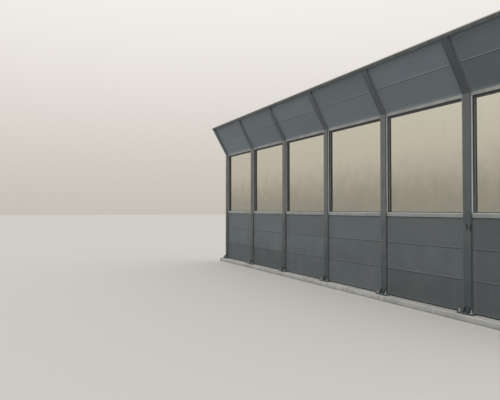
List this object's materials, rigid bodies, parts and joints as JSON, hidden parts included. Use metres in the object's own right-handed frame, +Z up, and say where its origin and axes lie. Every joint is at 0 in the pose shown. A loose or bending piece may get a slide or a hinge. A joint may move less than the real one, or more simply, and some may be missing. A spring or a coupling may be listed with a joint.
{
  "type": "highway noise barrier",
  "caption": "Highway noise barrier in bays: bent H-section posts on a concrete beam, metal absorbing panels, clear window panels and a canopy leaning to the road.",
  "frame": {"origin": "middle of the ground beam's underside, under the middle post's centre", "axes": "+X along the barrier, -Y towards the road, +Z up"},
  "size_m": [12.5, 0.7875, 4.5568],
  "materials": {
    "concrete": "cast, weathered",
    "post_paint": "satin grey paint on galvanised steel",
    "panel_paint": "matt blue-grey coating, finely perforated",
    "frame_aluminium": "silver anodised, dulled",
    "clear_sheet": "clear, slightly warm",
    "black_rubber": "matt black",
    "cap_paint": "satin grey paint, dusty"
  },
  "bodies": {
    "root": {"ground_beam": "concrete", "post_1": "post_paint", "post_2": "post_paint", "post_3": "post_paint", "post_4": "post_paint", "post_5": "post_paint", "post_6": "post_paint", "post_7": "post_paint", "wall_panels_row_1": "panel_paint", "wall_panels_row_2": "panel_paint", "wall_panels_row_3": "panel_paint", "canopy_panels_row_1": "panel_paint", "canopy_panels_row_2": "panel_paint", "window_sills": "frame_aluminium", "window_heads": "frame_aluminium", "window_jambs": "frame_aluminium", "glass_sheet_1": "clear_sheet", "glass_sheet_2": "clear_sheet", "glass_sheet_3": "clear_sheet", "glass_sheet_4": "clear_sheet", "glass_sheet_5": "clear_sheet", "glass_sheet_6": "clear_sheet", "gaskets_front": "black_rubber", "gaskets_back": "black_rubber", "canopy_caps": "cap_paint", "wall_edge_seals": "black_rubber", "canopy_edge_seals": "black_rubber", "window_edge_seals": "black_rubber", "foot_seals": "black_rubber"}
  },
  "joints": []
}
